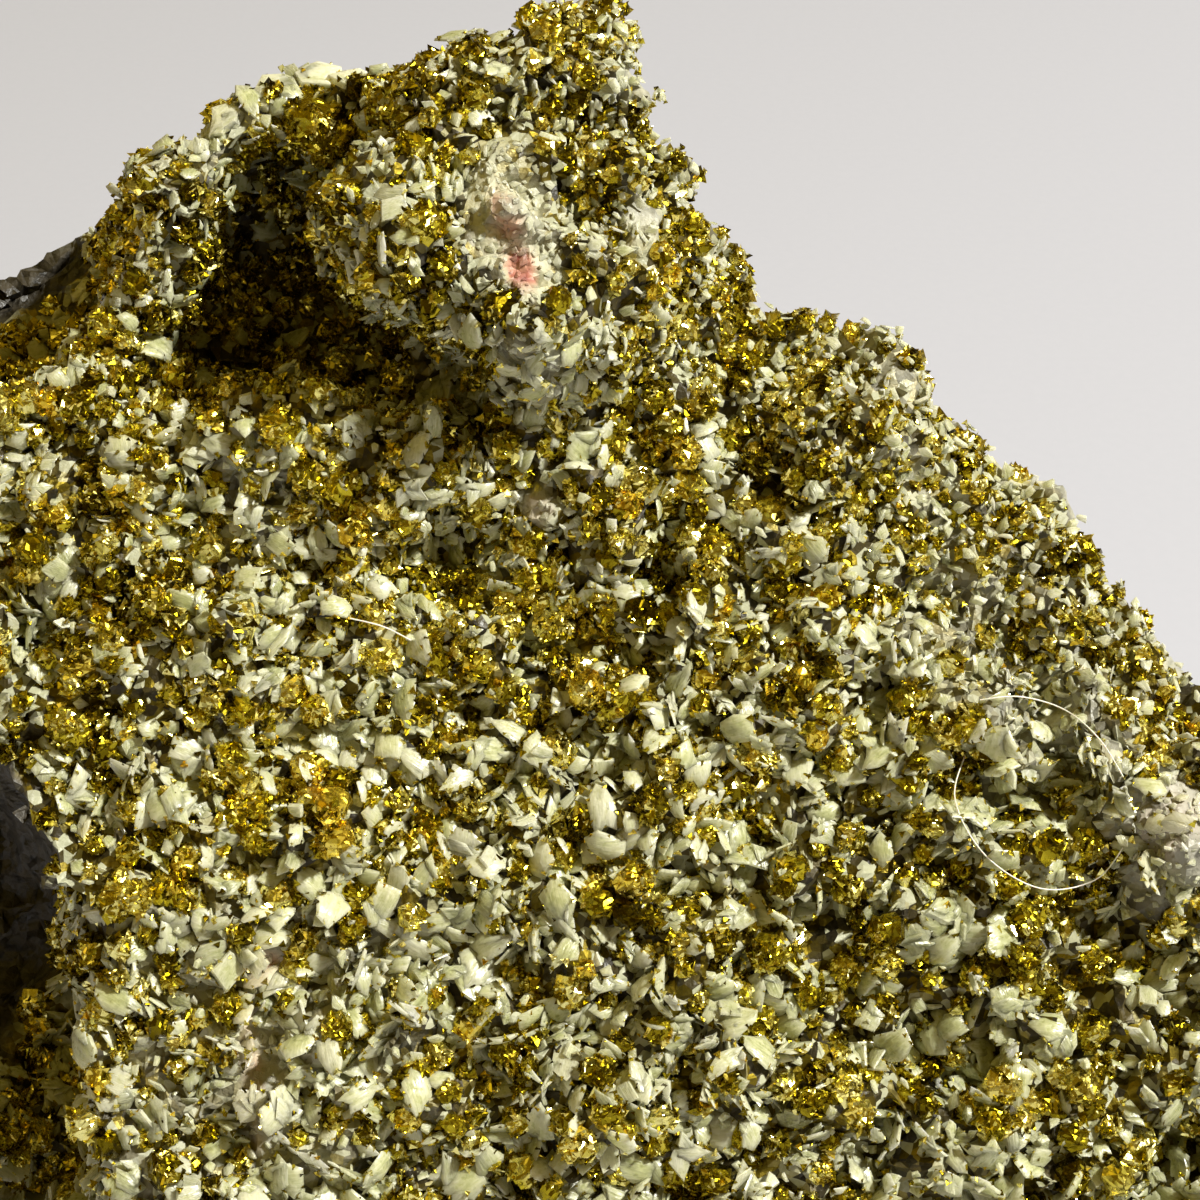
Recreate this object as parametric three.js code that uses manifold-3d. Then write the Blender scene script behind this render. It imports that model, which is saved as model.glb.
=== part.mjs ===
// A hand specimen of chalcopyrite: a broken block of pale dolomite whose front face is a druse of
// brassy chalcopyrite rosettes and milky dolomite blades. It stands on a flat broken base.
//
// The part's frame is in millimetres, +Z up, with the crystal face towards -Y. Everything that grows
// on the face is laid out in the face's own frame: u across it, v up it and w out of it.
import * as THREE from 'three';
import { ImprovedNoise } from 'three/addons/math/ImprovedNoise.js';
import { mergeVertices } from 'three/addons/utils/BufferGeometryUtils.js';
import Module from 'manifold-3d';

// How the block stands, mm and degrees
const FACE_LEAN = 30; // the crystal face leans back this far from upright
const FACE_MIDDLE_HEIGHT = 41; // the middle of the face above the table
const ROCK_DEPTH = 43; // from the face to the back
const RIM_DROP = 4; // the face rounds off by this much at its rim
const ROCK_MIDDLE = [0, -5]; // u and v that the rock is drawn around

// The rim of the rock as seen square to the face, u and v in mm, from the right side round over the top
const RIM = [
  [37.5, -4.5], [33.4, 0.2], [29.7, 4.1], [28.1, 6.7], [25.2, 8.7], [21.8, 11.5], [20.5, 14.3],
  [18.5, 16.5], [15.1, 17.8], [12.1, 17.9], [9.9, 19.1], [9.3, 21.3], [7.7, 22.6], [7.0, 24.8],
  [5.0, 27.4], [3.4, 30.3], [2.6, 32.6], [1.6, 34.9], [-0.2, 36.4], [-3.2, 36.0], [-6.8, 34.7],
  [-9.5, 33.6], [-13.4, 32.2], [-18.9, 33.6], [-21.3, 32.2], [-24.5, 30.3], [-27.3, 28.8],
  [-29.8, 26.9], [-33.5, 25.2], [-40.5, 21.6], [-47.0, 15.0], [-48.5, 3.0], [-47.5, -12.0],
  [-50.0, -28.0], [-46.0, -44.0], [-22.0, -53.0], [8.0, -53.0], [34.0, -50.0], [44.5, -40.0],
  [45.5, -24.0], [42.0, -12.5],
];
const RIM_SOFTENING = 25; // degrees each way that the rings inside the rim are smoothed over

// The forms of the face: middle, half axes, turn in degrees, rise in mm. A steep form is a step with
// a level top or floor, and a soft one is a swell or a hollow.
const FORMS = {
  peakKnob: { at: [-3.6, 24.8], half: [13.0, 13.8], turn: 0, rise: 8.5, steep: 0.68 },
  hangingLump: { at: [-3.2, 13.6], half: [4.6, 5.0], turn: 20, rise: 3.0, steep: 0.3 },
  cavity: { at: [-19.0, 17.6], half: [10.0, 6.6], turn: 12, rise: -7.0, steep: 0.45 },
  cavityHead: { at: [-17.5, 24.5], half: [5.0, 6.5], turn: 20, rise: -4.0, steep: 0.4 },
  cavityFoot: { at: [-10.0, 12.4], half: [6.8, 4.0], turn: -24, rise: -4.5, steep: 0.3 },
  leftRidge: { at: [-21.0, 27.0], half: [14.0, 5.5], turn: 36, rise: 3.0, steep: 0.2 },
  backRock: { at: [-41.0, 21.0], half: [12.5, 9.0], turn: 10, rise: -15.0, steep: 0.7 },
  leftCleft: { at: [-45.0, -31.0], half: [14.2, 25.0], turn: 0, rise: -17.0, steep: 0.75 },
  cornerLump: { at: [-41.5, -35.5], half: [7.0, 8.5], turn: 0, rise: 12.0, steep: 0.35 },
  shoulder: { at: [16.5, 10.0], half: [7.0, 6.0], turn: 30, rise: 2.2, steep: 0.1 },
  upperPit: { at: [-7.5, 2.4], half: [6.0, 4.6], turn: 20, rise: -3.0, steep: 0.1 },
  furrow: { at: [2.5, -3.5], half: [9.5, 2.6], turn: 62, rise: -1.8, steep: 0.1 },
  lowerPit: { at: [22.2, -26.5], half: [4.0, 3.6], turn: 0, rise: -2.6, steep: 0.1 },
  leftSwell: { at: [-24.0, -3.0], half: [11.0, 8.0], turn: 20, rise: 1.6, steep: 0 },
  lowerSwell: { at: [-2.0, -25.0], half: [17.0, 9.0], turn: -8, rise: 1.6, steep: 0 },
  rightHollow: { at: [30.0, -21.0], half: [8.0, 12.0], turn: 25, rise: -1.8, steep: 0 },
};
const UNDULATIONS = [[11, 1.5], [5, 1.1]]; // wavelength and height of the smaller swells
const ROUGHNESS_OF_BREAKS = [[17, 3.2], [7, 1.3]]; // the same, on the broken sides and back
const BACK_SQUARENESS = 3; // power of the superellipse that the sides turn into the back with
const BACK_TAPER = 0.16; // share that the rock narrows by on its way back
const BREAKS_BEGIN = 0.35; // share of the way back at which the sides have their full roughness

// The flat breaks that the block was trimmed with: middle of each in face u, v, w, and the way it faces
const BREAKS = [
  { at: [-4, 30, -24], faces: [-0.1, 0.6, -0.8] },
  { at: [14, 16, -21], faces: [0.62, 0.62, -0.48] },
  { at: [28, 0, -27], faces: [0.76, 0.2, -0.62] },
  { at: [43, -28, -14], faces: [0.95, -0.05, -0.31] },
  { at: [-33, 12, -32], faces: [-0.55, 0.5, -0.67] },
  { at: [-42, -8, -27], faces: [-0.86, -0.1, -0.5] },
  { at: [-14, -2, -39], faces: [-0.2, 0.18, -0.96] },
  { at: [14, -16, -38], faces: [0.3, -0.12, -0.95] },
];
const BREAK_BLOCK = 120; // size of the block taken off at each break, larger than the rock
const SLOPE_STEP = 1.2; // how far either side of a point the slope of the face is taken

// Crystals, mm
const CRYSTAL_SPACING = 4.9; // between neighbours, in rows set off by half a space
const CRYSTAL_SCATTER = 1.3; // how far a crystal strays from its place in the row
const STEEPEST_SEAT = 0.8; // no crystal sits where the face's normal has less than this along w
const LOWEST_SEAT = 3; // nor this close to the table
const FACE_SPAN = 55; // no part of the rim is farther than this from the middle
const CRYSTAL_REACH = 0.97; // share of the way to the rim that the crystals grow to
const ROSETTE_RADIUS = [1.4, 2.2];
const ROSETTE_OVALNESS = [0.8, 1.1]; // width across as a share of the length
const ROSETTE_HEIGHT = 0.8; // and its height
const ROSETTE_RISE = 0.15; // share of its radius that its middle stands above the face
const ROSETTE_TILT = 35; // degrees that it may lean either way
const BLADE_LENGTH = [2.4, 3.8];
const BLADE_HEIGHT = [0.6, 0.9]; // share of its length
const BLADE_THICKNESS = [0.55, 0.9];
const BLADE_RISE = 0.12; // share of its length that its middle stands above the face
const BLADE_TILT = 50; // degrees that it may lean either way
const BLADE_SKEW = 0.45; // a dolomite cleavage blade is a rhomb, so its outline leans by this share
const BLADE_SHARE = 0.42; // share of the sites that hold a blade, away from the pale patches
const PALE_BLADE_SHARE = 0.85;
// Patches where the chalcopyrite is thin and the dolomite shows: middle in u and v, and radius
const PALE_PATCHES = [
  { at: [29, -8], radius: 8 }, { at: [-20, -27], radius: 12 }, { at: [-5, 21], radius: 5 },
];
const PATCH_HEART = 0.6; // share of a patch's radius inside which it is at its palest

const ROCK_DETAIL = 11; // the rock's sphere has 20 * (ROCK_DETAIL + 1)^2 triangles
const RIM_DETAIL = 60; // steps from each point of the rim to the next, several to a degree

const { clamp, degToRad, lerp, radToDeg, seededRandom, smoothstep } = THREE.MathUtils;
const between = ([low, high]) => lerp(low, high, seededRandom());
const noise = new ImprovedNoise();

const wasm = await Module();
wasm.setup();

// The turn and place that carry the face's frame to the part's frame
const lean = degToRad(FACE_LEAN);
const faceToPart = new THREE.Matrix4()
  .makeBasis(
    new THREE.Vector3(1, 0, 0),
    new THREE.Vector3(0, Math.sin(lean), Math.cos(lean)),
    new THREE.Vector3(0, -Math.cos(lean), Math.sin(lean)),
  )
  .setPosition(0, 0, FACE_MIDDLE_HEIGHT);

// A geometry with one vertex at each corner, shared by the faces that meet there
function sewn(geometry) {
  geometry.deleteAttribute('normal');
  geometry.deleteAttribute('uv');
  return mergeVertices(geometry);
}

// A closed geometry as a solid that can be joined and cut
function solidOf(geometry) {
  const merged = sewn(geometry);
  const mesh = new wasm.Mesh({
    numProp: 3,
    vertProperties: merged.attributes.position.array,
    triVerts: new Uint32Array(merged.index.array),
  });
  return new wasm.Manifold(mesh);
}

function geometryOf(solid) {
  const { vertProperties, triVerts } = solid.getMesh();
  const geometry = new THREE.BufferGeometry();
  geometry.setAttribute('position', new THREE.BufferAttribute(vertProperties, 3));
  geometry.setIndex(new THREE.BufferAttribute(triVerts, 1));
  return geometry;
}

// A few octaves of noise, each a wavelength and a height in mm
function rough(octaves, x, y, z) {
  return octaves.reduce((sum, [length, height]) => {
    return sum + height * noise.noise(x / length, y / length, z / length);
  }, 0);
}

// Distance of the rim from the rock's middle, for each degree of the way round the face
function rimRadii() {
  const middle = new THREE.Vector2(...ROCK_MIDDLE);
  const points = RIM.map(([u, v]) => new THREE.Vector3(u, v, 0));
  const curve = new THREE.CatmullRomCurve3(points, true, 'centripetal');
  const radii = new Array(360);
  curve.getPoints(RIM.length * RIM_DETAIL).forEach((point) => {
    const spoke = new THREE.Vector2(point.x, point.y).sub(middle);
    radii[Math.round(radToDeg(spoke.angle())) % 360] = spoke.length();
  });
  return radii;
}

// The same, with every nick and corner of the rim averaged out over the degrees on both sides of it
function softened(radii) {
  return radii.map((_, degree) => {
    let sum = 0;
    for (let aside = -RIM_SOFTENING; aside <= RIM_SOFTENING; aside++) {
      sum += radii[(degree + aside + 360) % 360];
    }
    return sum / (2 * RIM_SOFTENING + 1);
  });
}

const rim = rimRadii();
const softRim = softened(rim);

// The radius that a list of radii gives at an angle between its degrees
function radiusAt(radii, angle) {
  const degrees = (radToDeg(angle) + 360) % 360;
  const before = Math.floor(degrees);
  return lerp(radii[before % 360], radii[(before + 1) % 360], degrees - before);
}

// Height of one form of the face over the point u, v
function formHeight({ at, half, turn, rise, steep }, u, v) {
  const away = new THREE.Vector2(u - at[0], v - at[1]);
  away.rotateAround(new THREE.Vector2(), -degToRad(turn));
  const distance = Math.hypot(away.x / half[0], away.y / half[1]);
  return rise * (1 - smoothstep(distance, steep, 1));
}

// How far the face stands out at u, v, before it rounds off at the rim
function relief(u, v) {
  const forms = Object.values(FORMS).reduce((sum, form) => sum + formHeight(form, u, v), 0);
  return forms + rough(UNDULATIONS, u, v, 0);
}

// A point of the face, rounded off towards the rim
function facePoint(u, v) {
  const spoke = new THREE.Vector2(u, v).sub(new THREE.Vector2(...ROCK_MIDDLE));
  const rimShare = spoke.length() / radiusAt(rim, spoke.angle());
  return new THREE.Vector3(u, v, relief(u, v) - RIM_DROP * rimShare ** 5);
}

// A point of the face by angle and share of the way out. The inner rings are rounder than the rim,
// so that the face's triangles stay even.
function facePointOnRing(angle, share) {
  const radius = share * lerp(radiusAt(softRim, angle), radiusAt(rim, angle), share ** 2);
  return facePoint(ROCK_MIDDLE[0] + radius * Math.cos(angle), ROCK_MIDDLE[1] + radius * Math.sin(angle));
}

// A point of the sides or the back, where depth goes from 0 at the rim to 1 at the back
function backPoint(angle, depth) {
  const width = (1 - depth ** BACK_SQUARENESS) ** (1 / BACK_SQUARENESS) * (1 - BACK_TAPER * depth);
  const rimPoint = facePointOnRing(angle, 1);
  const u = lerp(ROCK_MIDDLE[0], rimPoint.x, width);
  const v = lerp(ROCK_MIDDLE[1], rimPoint.y, width);
  const w = lerp(rimPoint.z, -ROCK_DEPTH, depth);
  const fromRim = smoothstep(depth, 0, BREAKS_BEGIN);
  const broken = 1 + (fromRim * rough(ROUGHNESS_OF_BREAKS, u, v, w)) / radiusAt(rim, angle);
  return new THREE.Vector3(
    ROCK_MIDDLE[0] + (u - ROCK_MIDDLE[0]) * broken,
    ROCK_MIDDLE[1] + (v - ROCK_MIDDLE[1]) * broken,
    w,
  );
}

// The block of rock: a sphere of even triangles, whose front half is drawn out to the crystal face and
// whose back half is drawn out to the broken sides and back
function rock() {
  const geometry = sewn(new THREE.IcosahedronGeometry(1, ROCK_DETAIL));
  const position = geometry.attributes.position;
  const point = new THREE.Vector3();
  for (let i = 0; i < position.count; i++) {
    point.fromBufferAttribute(position, i);
    const angle = Math.atan2(point.y, point.x);
    const moved = point.z >= 0
      ? facePointOnRing(angle, Math.sqrt(clamp(1 - point.z, 0, 1)))
      : backPoint(angle, clamp(-point.z, 0, 1));
    position.setXYZ(i, moved.x, moved.y, moved.z);
  }
  return solidOf(geometry);
}

// The block that a break takes away, in the face's frame
function breakBlock({ at, faces }) {
  const outward = new THREE.Vector3(...faces).normalize();
  const turn = new THREE.Quaternion().setFromUnitVectors(new THREE.Vector3(0, 0, 1), outward);
  const block = new THREE.BoxGeometry(BREAK_BLOCK, BREAK_BLOCK, BREAK_BLOCK);
  block.translate(0, 0, BREAK_BLOCK / 2);
  block.applyQuaternion(turn);
  block.translate(...at);
  return solidOf(block);
}

// Which way the face looks at u, v
function faceNormal(u, v) {
  const slopeU = (relief(u + SLOPE_STEP, v) - relief(u - SLOPE_STEP, v)) / (2 * SLOPE_STEP);
  const slopeV = (relief(u, v + SLOPE_STEP) - relief(u, v - SLOPE_STEP)) / (2 * SLOPE_STEP);
  return new THREE.Vector3(-slopeU, -slopeV, 1).normalize();
}

// A crystal set on the face: leant over, turned about the face's normal, and raised from it by rise
function seated(geometry, site, tilt, rise) {
  const normal = faceNormal(site.x, site.y);
  const upright = new THREE.Quaternion().setFromUnitVectors(new THREE.Vector3(0, 0, 1), normal);
  const leant = new THREE.Euler(degToRad(between([-tilt, tilt])), 0, between([0, 2 * Math.PI]), 'ZXY');
  geometry.applyQuaternion(upright.multiply(new THREE.Quaternion().setFromEuler(leant)));
  const middle = site.clone().addScaledVector(normal, rise);
  geometry.translate(middle.x, middle.y, middle.z);
  return solidOf(geometry);
}

// A chalcopyrite rosette: a squat ball of a few flat faces, sunk to almost half of its height
function rosette(site) {
  const radius = between(ROSETTE_RADIUS);
  const ball = new THREE.OctahedronGeometry(radius);
  ball.scale(1, between(ROSETTE_OVALNESS), ROSETTE_HEIGHT);
  return seated(ball, site, ROSETTE_TILT, radius * ROSETTE_RISE);
}

// A dolomite blade: a thin rhomb that stands up out of the face at a slant
function blade(site) {
  const length = between(BLADE_LENGTH);
  const height = length * between(BLADE_HEIGHT);
  const tablet = new THREE.BoxGeometry(length, between(BLADE_THICKNESS), height);
  tablet.applyMatrix4(new THREE.Matrix4().makeShear(0, 0, 0, 0, BLADE_SKEW, 0));
  return seated(tablet, site, BLADE_TILT, length * BLADE_RISE);
}

// How pale the face is at u, v, from 0 in the chalcopyrite to 1 in a patch of bare dolomite
function paleness(u, v) {
  return PALE_PATCHES.reduce((most, { at, radius }) => {
    const away = Math.hypot(u - at[0], v - at[1]);
    return Math.max(most, 1 - smoothstep(away, radius * PATCH_HEART, radius));
  }, 0);
}

// Crystal sites spread over the face in loose rows, inside its rim and where a crystal has a firm seat
function crystalSites() {
  const sites = [];
  const rowSpacing = CRYSTAL_SPACING * Math.sqrt(0.75);
  const rows = Math.ceil(FACE_SPAN / rowSpacing);
  for (let row = -rows; row <= rows; row++) {
    for (let place = -rows; place <= rows; place++) {
      const across = (place + (row % 2) / 2) * CRYSTAL_SPACING + between([-1, 1]) * CRYSTAL_SCATTER;
      const up = row * rowSpacing + between([-1, 1]) * CRYSTAL_SCATTER;
      const site = facePoint(ROCK_MIDDLE[0] + across, ROCK_MIDDLE[1] + up);
      const height = site.clone().applyMatrix4(faceToPart).z;
      const firm = height > LOWEST_SEAT && faceNormal(site.x, site.y).z > STEEPEST_SEAT;
      const inside = Math.hypot(across, up) < radiusAt(rim, Math.atan2(up, across)) * CRYSTAL_REACH;
      if (inside && firm) sites.push(site);
    }
  }
  return sites;
}

function crystals() {
  return crystalSites().map((site) => {
    const bladeShare = lerp(BLADE_SHARE, PALE_BLADE_SHARE, paleness(site.x, site.y));
    return seededRandom() < bladeShare ? blade(site) : rosette(site);
  });
}

// The whole specimen, grown together as one piece
function specimenGeometry() {
  seededRandom(5);
  const grown = crystals().reduce((solid, crystal) => solid.add(crystal), rock());
  const specimen = BREAKS.reduce((solid, taken) => solid.subtract(breakBlock(taken)), grown);
  const standing = geometryOf(specimen);
  standing.applyMatrix4(faceToPart);
  const belowTable = new THREE.BoxGeometry(2 * BREAK_BLOCK, 2 * BREAK_BLOCK, BREAK_BLOCK);
  belowTable.translate(0, 0, -BREAK_BLOCK / 2);
  return geometryOf(solidOf(standing).subtract(solidOf(belowTable)));
}

// The origin is in the middle of the specimen's box, on the table
function centred(geometry) {
  geometry.computeBoundingBox();
  const middle = geometry.boundingBox.getCenter(new THREE.Vector3());
  return geometry.translate(-middle.x, -middle.y, 0);
}

const brass = new THREE.MeshStandardMaterial({ color: 0xb09a3c, metalness: 0.75, roughness: 0.35 });
const specimen = new THREE.Mesh(centred(specimenGeometry()), brass);
specimen.name = 'chalcopyrite_on_dolomite';

const part = new THREE.Group();
part.add(specimen);

export default part;
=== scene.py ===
import math
import random

import bpy
import numpy as np
from mathutils import Euler, Matrix, Vector, noise


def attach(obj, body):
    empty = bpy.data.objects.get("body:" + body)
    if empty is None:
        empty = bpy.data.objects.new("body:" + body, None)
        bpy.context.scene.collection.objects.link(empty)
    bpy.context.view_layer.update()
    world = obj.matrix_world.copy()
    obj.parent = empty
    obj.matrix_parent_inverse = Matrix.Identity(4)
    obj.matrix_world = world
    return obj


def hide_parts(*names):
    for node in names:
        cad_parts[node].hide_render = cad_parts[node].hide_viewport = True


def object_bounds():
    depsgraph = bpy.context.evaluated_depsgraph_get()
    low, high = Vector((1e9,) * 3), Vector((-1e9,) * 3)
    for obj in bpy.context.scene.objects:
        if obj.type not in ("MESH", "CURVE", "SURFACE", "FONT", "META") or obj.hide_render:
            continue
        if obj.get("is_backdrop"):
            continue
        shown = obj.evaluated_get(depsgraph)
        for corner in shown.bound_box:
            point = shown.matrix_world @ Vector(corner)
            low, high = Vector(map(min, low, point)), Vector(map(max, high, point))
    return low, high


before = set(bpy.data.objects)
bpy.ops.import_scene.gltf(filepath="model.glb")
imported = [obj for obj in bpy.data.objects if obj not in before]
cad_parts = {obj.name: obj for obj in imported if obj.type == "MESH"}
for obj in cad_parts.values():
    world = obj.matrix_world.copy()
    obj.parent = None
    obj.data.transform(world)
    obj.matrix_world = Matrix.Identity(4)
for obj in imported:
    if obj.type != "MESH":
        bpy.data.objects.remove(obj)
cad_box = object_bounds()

# ------------------------------------------------------------------------------------------------
# The studio: a pale table top, a camera square to the crystal face, which leans back, a strong lamp
# high on the right that grazes the face, and else only weak amber light, so that gaps stay dark.

MM = 0.001
LEAN = math.radians(30)  # of the crystal face, back from upright
ACROSS = Vector((1, 0, 0))
UP_FACE = Vector((0, math.sin(LEAN), math.cos(LEAN)))
OUT = Vector((0, -math.cos(LEAN), math.sin(LEAN)))
FACE_MIDDLE = Vector((1.33, -8.56, 41)) * MM

CAMERA_DISTANCE = 170 * MM
camera_data = bpy.data.cameras.new("camera")
camera_data.lens = 85
camera_data.sensor_width = 36
camera_data.clip_start = 10 * MM
camera = bpy.data.objects.new("camera", camera_data)
bpy.context.scene.collection.objects.link(camera)
camera.location = FACE_MIDDLE + OUT * CAMERA_DISTANCE
camera.rotation_euler = (math.pi / 2 - LEAN, 0, 0)
bpy.context.scene.camera = camera


def lamp(name, towards, distance, size, power, colour):
    """A square area lamp that faces the middle of the crystal face from the given side."""
    data = bpy.data.lights.new(name, "AREA")
    data.size = size
    data.energy = power
    data.color = colour
    made = bpy.data.objects.new(name, data)
    bpy.context.scene.collection.objects.link(made)
    direction = towards.normalized()
    made.location = FACE_MIDDLE + direction * distance
    made.rotation_euler = direction.to_track_quat("Z", "Y").to_euler()


lamp(
    "key_lamp", towards=ACROSS * 0.72 + UP_FACE * 0.62 + OUT * 0.70, distance=1.5, size=0.10,
    power=47, colour=(0.98, 0.975, 0.91),
)
lamp(
    "window", towards=ACROSS * -0.45 + UP_FACE * 0.8 + OUT * 0.5, distance=0.8, size=0.5,
    power=0.7, colour=(1, 0.78, 0.2),
)

bpy.context.scene.view_settings.view_transform = "Standard"

TABLE_SIZE = 3  # metres, so wide that it fills the view behind the specimen
bpy.ops.object.select_all(action="DESELECT")
bpy.ops.mesh.primitive_plane_add(size=TABLE_SIZE, location=(0, 0, 0))
table = bpy.context.object
table.name = "table_top"
table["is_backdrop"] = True


class Socket:
    """A node's output, so that sums on values are written as sums."""

    def __init__(self, tree, socket):
        self.tree = tree
        self.socket = socket

    def beside(self, name):
        """Another output of the same node."""
        return Socket(self.tree, Tree.find(self.socket.node.outputs, name))

    def math(self, operation, *others):
        return self.tree.add("ShaderNodeMath", {"operation": operation}, {
            place: value for place, value in enumerate((self, *others))
        })

    def __add__(self, other):
        return self.math("ADD", other)

    def __mul__(self, other):
        return self.math("MULTIPLY", other)

    def __sub__(self, other):
        return self.math("SUBTRACT", other)

    def __rsub__(self, other):
        return (self * -1) + other

    __radd__ = __add__
    __rmul__ = __mul__

    def clamped(self):
        return self.tree.add("ShaderNodeClamp", {}, {"Value": self})


class Tree:
    """A node tree that is written as a list of the nodes it holds."""

    def __init__(self, tree):
        self.tree = tree
        tree.nodes.clear()

    def add(self, kind, settings, values, output=None):
        """Adds a node, gives it its settings and then its inputs, and returns one output."""
        node = self.tree.nodes.new(kind)
        for name, value in settings.items():
            if name == "stops":
                self.set_stops(node.color_ramp, value)
            else:
                setattr(node, name, value)
        for name, value in values.items():
            self.feed(self.find(node.inputs, name), value)
        if not node.outputs:
            return None
        return Socket(self, self.find(node.outputs, 0 if output is None else output))

    @staticmethod
    def find(sockets, name):
        shown = [socket for socket in sockets if socket.enabled]
        if isinstance(name, int):
            return shown[name]
        return next(socket for socket in shown if socket.name == name)

    def feed(self, socket, value):
        if isinstance(value, Socket):
            self.tree.links.new(value.socket, socket)
        else:
            socket.default_value = value

    @staticmethod
    def set_stops(ramp, stops):
        while len(ramp.elements) < len(stops):
            ramp.elements.new(1)
        for element, (place, colour) in zip(ramp.elements, stops):
            element.position = place
            element.color = (*colour, 1)

    def colours(self, value, stops):
        return self.add("ShaderNodeValToRGB", {"stops": stops}, {"Fac": value}, "Color")

    def mix(self, share, first, second):
        return self.add("ShaderNodeMix", {"data_type": "RGBA"}, {
            "Factor": share, "A": first, "B": second,
        }, "Result")

    def noise(self, coords, scale, detail=2, rough=0.5):
        return self.add("ShaderNodeTexNoise", {}, {
            "Vector": coords, "Scale": scale, "Detail": detail, "Roughness": rough,
        }, 0)

    def range(self, value, low, high, to_low=0.0, to_high=1.0):
        return self.add("ShaderNodeMapRange", {}, {
            "Value": value, "From Min": low, "From Max": high, "To Min": to_low, "To Max": to_high,
        })

    def leaning(self, colour, amount):
        """The surface's normal, leant another way in each patch of the colour given."""
        centred = self.add("ShaderNodeVectorMath", {"operation": "SUBTRACT"}, {
            0: colour, 1: (0.5, 0.5, 0.5),
        })
        lean = self.add("ShaderNodeVectorMath", {"operation": "SCALE"}, {
            "Vector": centred, "Scale": 2 * amount,
        })
        normal = self.add("ShaderNodeNewGeometry", {}, {}, "Normal")
        return self.add("ShaderNodeVectorMath", {"operation": "NORMALIZE"}, {
            0: self.add("ShaderNodeVectorMath", {"operation": "ADD"}, {0: normal, 1: lean}),
        })

    def place(self):
        return self.add("ShaderNodeTexCoord", {}, {}, "Object")


def material(name):
    made = bpy.data.materials.new(name)
    made.use_nodes = True
    return made, Tree(made.node_tree)


def finish_material(tree, values):
    shader = tree.add("ShaderNodeBsdfPrincipled", {}, values)
    tree.add("ShaderNodeOutputMaterial", {}, {"Surface": shader})


def card_table():
    """Plain bluish grey card with a faint fibre."""
    made, tree = material("pale_card")
    fibres = tree.noise(tree.place(), scale=900, detail=4)
    finish_material(tree, {
        "Base Color": tree.mix(fibres, (0.42, 0.43, 0.505, 1), (0.44, 0.45, 0.525, 1)),
        "Roughness": 0.8,
    })
    return made


table.data.materials.append(card_table())


def room():
    """Dim amber light from above, paler and greyer all round near the height of the table."""
    made = bpy.data.worlds.new("room")
    made.use_nodes = True
    tree = Tree(made.node_tree)
    way = tree.add("ShaderNodeTexCoord", {}, {}, "Generated")
    height = tree.add("ShaderNodeSeparateXYZ", {}, {"Vector": way}, "Z")
    grey, amber = (0.20, 0.19, 0.15, 1), (0.19, 0.126, 0.008, 1)
    light = tree.mix(tree.range(height, 0.02, 0.16), grey, amber)
    tree.add("ShaderNodeOutputWorld", {}, {
        "Surface": tree.add("ShaderNodeBackground", {}, {"Color": light, "Strength": 1.0}),
    })
    return made


bpy.context.scene.world = room()

# ------------------------------------------------------------------------------------------------
# The block of dolomite that everything grows on: broken, pale grey-green rock, rough where the
# druse covers it and with flat rough breaks at its sides and back. It stands on a flat break.

VOXEL = 0.6 * MM  # how fine the rock's mesh is
FLAT_BASE = 0.3 * MM  # the rock stands flat on the table up to this height
BASE_BAND = (0.5 * MM, 2.5 * MM)  # heights between which the rock takes on its full roughness
TOUCHING = 0.001 * MM  # corners closer than this are one corner
CRYSTAL_HEIGHT = 1.1  # mm by which the crystals stand proud of the rock they grow on
FACING_ROUNDS = 24  # rounds over which the way that the rock faces is evened out
# The edges of the painted shade in the dark places are softened over these rounds
PAINTED_SHADE_EDGE_ROUNDS = 30  # rounds over which the edges of the dark places are softened


def select_only(piece):
    bpy.ops.object.select_all(action="DESELECT")
    piece.select_set(True)
    bpy.context.view_layer.objects.active = piece


def apply_modifier(piece, kind, settings):
    select_only(piece)
    modifier = piece.modifiers.new(kind.lower(), kind)
    for name, value in settings.items():
        setattr(modifier, name, value)
    bpy.ops.object.modifier_apply(modifier=modifier.name)


def positions(piece):
    count = len(piece.data.vertices)
    flat = np.empty(count * 3, np.float32)
    piece.data.vertices.foreach_get("co", flat)
    return flat.reshape(count, 3).astype(float)


def normals(piece):
    count = len(piece.data.vertices)
    flat = np.empty(count * 3, np.float32)
    piece.data.vertices.foreach_get("normal", flat)
    return flat.reshape(count, 3).astype(float)


def set_positions(piece, places):
    piece.data.vertices.foreach_set("co", places.astype(np.float32).ravel())
    piece.data.update()


def smooth(value, low, high):
    share = np.clip((value - low) / (high - low), 0, 1)
    return share * share * (3 - 2 * share)


CLOUD_TURN = np.array(Euler((0.7, 0.4, 1.1)).to_matrix())  # off the axes, so that no rows show
CLOUD_SHIFT = np.array((7.3, 3.1, 5.7))  # from one seed's cloud to the next


def cloud(places, size, seed):
    """Smooth noise from -1 to 1 at each place, with swells of the given size."""
    turned = places @ CLOUD_TURN / size + CLOUD_SHIFT * seed
    return np.array([noise.noise(Vector(place)) for place in turned])


def weigh(piece, name, weights):
    """Keeps a weight for each vertex as an attribute and as a vertex group."""
    attribute = piece.data.attributes.new(name, "FLOAT", "POINT")
    attribute.data.foreach_set("value", weights.astype(np.float32))
    group = piece.vertex_groups.new(name=name + "_group")
    for level in range(1, 11):
        chosen = np.nonzero(np.round(weights * 10) == level)[0].tolist()
        group.add(chosen, level / 10, "REPLACE")


def rough_texture(name, kind, size, **settings):
    texture = bpy.data.textures.new(name, kind)
    texture.noise_scale = size
    for setting, value in settings.items():
        setattr(texture, setting, value)
    return texture


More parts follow.
